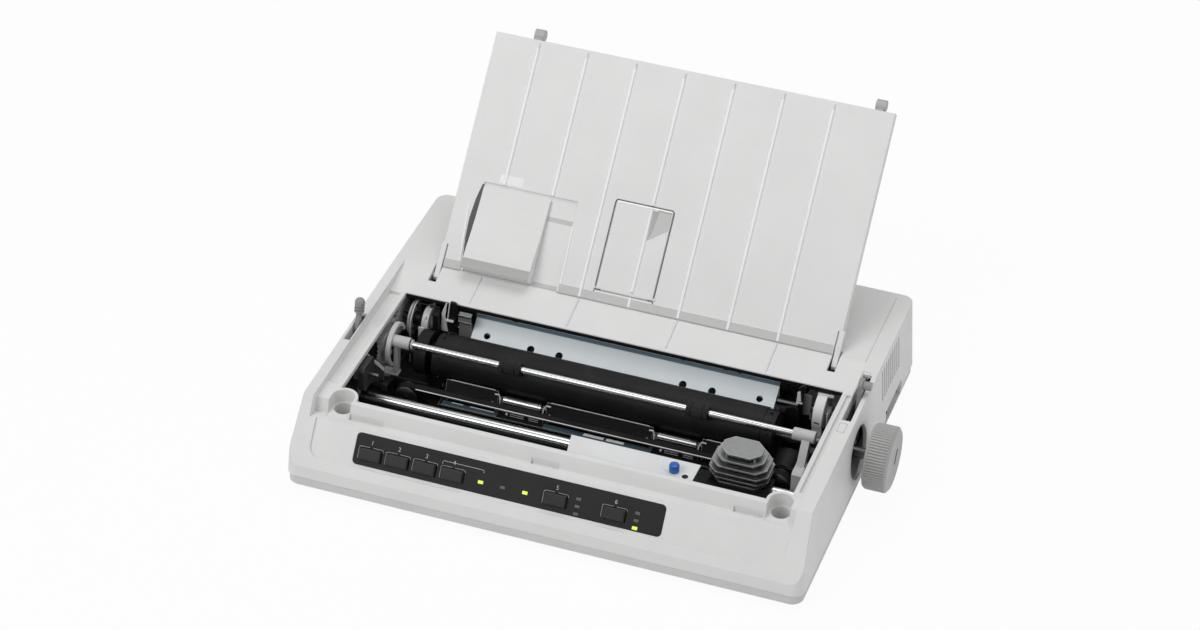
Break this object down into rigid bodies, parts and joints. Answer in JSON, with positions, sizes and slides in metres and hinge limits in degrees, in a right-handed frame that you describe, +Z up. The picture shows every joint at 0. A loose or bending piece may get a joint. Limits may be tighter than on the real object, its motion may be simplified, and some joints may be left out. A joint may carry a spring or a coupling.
{
  "type": "dot matrix printer",
  "caption": "Narrow-carriage impact printer with open access hatch, rubber platen with side knob, moving print head, button panel and hinged sheet separator.",
  "frame": {"origin": "bottom centre of the bounding box, at the plane of the feet", "axes": "+X to the user's right (knob side), +Y to the rear (paper separator), +Z up"},
  "size_m": [0.383, 0.3134, 0.1948],
  "materials": {
    "case_grey": "fine texture",
    "pan_grey": "fine texture",
    "foot_rubber": "matt",
    "screw_black": "black zinc",
    "panel_dark": "satin",
    "board_green": "solder resist",
    "led_lit": "clear lens",
    "led_off": "clear lens",
    "button_grey": "smooth",
    "sheet_steel": "zinc plated",
    "screw_steel": "plated",
    "bushing_white": "smooth",
    "guide_steel": "satin pale blue",
    "chute_black": "satin",
    "platen_rubber": "ground",
    "shaft_steel": "ground",
    "knob_grey": "fine texture",
    "gear_white": "smooth",
    "brass": "turned",
    "motor_steel": "plated",
    "pin_wheel_white": "smooth",
    "roller_black": "ground",
    "lever_grey": "smooth",
    "carriage_black": "smooth",
    "head_alloy": "cast",
    "cover_white": "smooth",
    "lever_blue": "smooth",
    "belt_black": "moulded",
    "separator_grey": "fine texture",
    "stop_grey": "smooth",
    "switch_black": "smooth",
    "inlet_black": "smooth",
    "connector_blue": "smooth",
    "core_grey": "varnished"
  },
  "bodies": {
    "base": {"bottom_pan": "pan_grey", "rubber_feet": "foot_rubber", "top_cover": "case_grey", "cover_screws": "screw_black", "control_panel": "panel_dark", "panel_board": "board_green", "lit_indicators": "led_lit", "unlit_indicators": "led_off", "chassis_plate": "sheet_steel", "side_frame_left": "sheet_steel", "side_frame_right": "sheet_steel", "frame_screws": "screw_steel", "platen_bushings": "bushing_white", "rear_guide_plate": "guide_steel", "paper_chute": "chute_black", "line_feed_motor": "motor_steel", "carriage_rail": "shaft_steel", "front_rail": "shaft_steel", "cable_cover": "cover_white", "carriage_belt": "belt_black", "carriage_motor": "motor_steel", "ac_inlet": "inlet_black", "interface_connector": "connector_blue", "main_board": "board_green", "transformer": "core_grey"},
    "line_feed_key": {"line_feed_button": "button_grey"},
    "form_feed_key": {"form_feed_button": "button_grey"},
    "top_of_form_key": {"top_of_form_button": "button_grey"},
    "select_key": {"select_button": "button_grey"},
    "pitch_key": {"pitch_button": "button_grey"},
    "mode_key": {"mode_button": "button_grey"},
    "platen": {"platen_roller": "platen_rubber", "platen_shaft": "shaft_steel", "platen_knob": "knob_grey", "platen_gear": "gear_white"},
    "idler": {"idler_gear": "gear_white"},
    "pinion": {"motor_pinion": "brass"},
    "tractor": {"tractor_shaft": "shaft_steel", "tractor_gear": "gear_white", "pin_wheel_left": "pin_wheel_white", "pin_wheel_right": "pin_wheel_white"},
    "pressure": {"pressure_frame": "sheet_steel"},
    "pressure_roll": {"pressure_rollers": "roller_black"},
    "release": {"release_lever": "lever_grey"},
    "bail_handle": {"bail_lever": "lever_grey"},
    "bail": {"bail_arm_left": "sheet_steel", "bail_arm_right": "sheet_steel", "bail_rod": "shaft_steel"},
    "bail_roll_left": {"bail_roller_left": "roller_black"},
    "bail_roll_right": {"bail_roller_right": "roller_black"},
    "carriage": {"carriage": "carriage_black", "print_head": "head_alloy"},
    "gap_adjuster": {"gap_lever": "lever_blue"},
    "drive_wheel": {"drive_pulley": "brass"},
    "idler_wheel": {"idler_pulley": "brass"},
    "separator": {"separator_plate": "separator_grey", "sheet_stops": "stop_grey"},
    "flap": {"separator_flap": "separator_grey"},
    "guide": {"sheet_guide": "separator_grey"},
    "switch": {"power_switch": "switch_black"}
  },
  "joints": [
    {"name": "line_feed_press", "type": "slide", "parent": "base", "child": "line_feed_key", "axis": [0, 0.8186, -0.5744], "range_m": [0, 0.0008], "stiffness_N_per_m": 300, "springref_m": -0.0006},
    {"name": "form_feed_press", "type": "slide", "parent": "base", "child": "form_feed_key", "axis": [0, 0.8186, -0.5744], "range_m": [0, 0.0008], "stiffness_N_per_m": 300, "springref_m": -0.0006},
    {"name": "top_of_form_press", "type": "slide", "parent": "base", "child": "top_of_form_key", "axis": [0, 0.8186, -0.5744], "range_m": [0, 0.0008], "stiffness_N_per_m": 300, "springref_m": -0.0006},
    {"name": "select_press", "type": "slide", "parent": "base", "child": "select_key", "axis": [0, 0.8186, -0.5744], "range_m": [0, 0.0008], "stiffness_N_per_m": 300, "springref_m": -0.0006},
    {"name": "pitch_press", "type": "slide", "parent": "base", "child": "pitch_key", "axis": [0, 0.8186, -0.5744], "range_m": [0, 0.0008], "stiffness_N_per_m": 300, "springref_m": -0.0006},
    {"name": "mode_press", "type": "slide", "parent": "base", "child": "mode_key", "axis": [0, 0.8186, -0.5744], "range_m": [0, 0.0008], "stiffness_N_per_m": 300, "springref_m": -0.0006},
    {"name": "platen_spin", "type": "hinge", "parent": "base", "child": "platen", "pos_m": [-0.01151, -0.02372, 0.033], "axis": [1, 0, 0], "continuous": true},
    {"name": "idler_spin", "type": "hinge", "parent": "base", "child": "idler", "pos_m": [-0.01151, -0.05258, 0.03913], "axis": [1, 0, 0], "continuous": true},
    {"name": "pinion_spin", "type": "hinge", "parent": "base", "child": "pinion", "pos_m": [-0.01151, -0.07139, 0.04178], "axis": [1, 0, 0], "continuous": true},
    {"name": "tractor_spin", "type": "hinge", "parent": "base", "child": "tractor", "pos_m": [-0.01151, 0.00658, 0.03651], "axis": [1, 0, 0], "continuous": true},
    {"name": "release_pull", "type": "hinge", "parent": "base", "child": "release", "pos_m": [-0.01151, -0.04472, 0.0235], "axis": [1, 0, 0], "range_deg": [0, 22]},
    {"name": "pressure_swing", "type": "hinge", "parent": "base", "child": "pressure", "pos_m": [-0.01151, -0.02872, 0.012], "axis": [1, 0, 0], "range_deg": [0, 5.5]},
    {"name": "pressure_roll_spin", "type": "hinge", "parent": "pressure", "child": "pressure_roll", "pos_m": [-0.01151, -0.04018, 0.02078], "axis": [1, 0, 0], "continuous": true},
    {"name": "bail_pull", "type": "hinge", "parent": "base", "child": "bail_handle", "pos_m": [-0.01151, -0.00672, 0.0315], "axis": [1, 0, 0], "range_deg": [0, 36]},
    {"name": "bail_swing", "type": "hinge", "parent": "base", "child": "bail", "pos_m": [-0.01151, -0.05672, 0.0215], "axis": [1, 0, 0], "range_deg": [0, 24.1]},
    {"name": "bail_roll_left_spin", "type": "hinge", "parent": "bail", "child": "bail_roll_left", "pos_m": [-0.07501, -0.03858, 0.04854], "axis": [1, 0, 0], "continuous": true},
    {"name": "bail_roll_right_spin", "type": "hinge", "parent": "bail", "child": "bail_roll_right", "pos_m": [0.05849, -0.03858, 0.04854], "axis": [1, 0, 0], "continuous": true},
    {"name": "carriage_slide", "type": "slide", "parent": "base", "child": "carriage", "axis": [1, 0, 0], "range_m": [-0.229, 0.006]},
    {"name": "gap_slide", "type": "slide", "parent": "base", "child": "gap_adjuster", "axis": [1, 0, 0], "range_m": [-0.005, 0.005]},
    {"name": "drive_spin", "type": "hinge", "parent": "base", "child": "drive_wheel", "pos_m": [0.12149, -0.05372, 0.0175], "axis": [0, 1, 0], "range_deg": [-1880, 52]},
    {"name": "idler_wheel_spin", "type": "hinge", "parent": "base", "child": "idler_wheel", "pos_m": [-0.14451, -0.05372, 0.0175], "axis": [0, 1, 0], "range_deg": [-1880, 52]},
    {"name": "separator_swing", "type": "hinge", "parent": "base", "child": "separator", "pos_m": [-0.01151, 0.03128, 0.0575], "axis": [1, 0, 0], "range_deg": [0, 50]},
    {"name": "flap_swing", "type": "hinge", "parent": "separator", "child": "flap", "pos_m": [-0.01151, 0.0412, 0.06995], "axis": [1, 0, 0], "range_deg": [0, 35]},
    {"name": "guide_slide", "type": "slide", "parent": "separator", "child": "guide", "axis": [1, 0, 0], "range_m": [0, 0.018]},
    {"name": "switch_rock", "type": "hinge", "parent": "base", "child": "switch", "pos_m": [0.15949, 0.06328, 0.0125], "axis": [0, 0, 1], "range_deg": [-12, 0]}
  ],
  "couplings": [
    {"joint": "idler_spin", "follows": "platen_spin", "ratio": -1.4583},
    {"joint": "pinion_spin", "follows": "platen_spin", "ratio": 2.5},
    {"joint": "tractor_spin", "follows": "platen_spin", "ratio": -1.3462},
    {"joint": "pressure_swing", "follows": "release_pull", "ratio": 0.25},
    {"joint": "bail_swing", "follows": "bail_pull", "ratio": 0.66667},
    {"joint": "drive_spin", "follows": "carriage_slide", "rad_per_m": 142.86},
    {"joint": "idler_wheel_spin", "follows": "carriage_slide", "rad_per_m": 142.86}
  ]
}
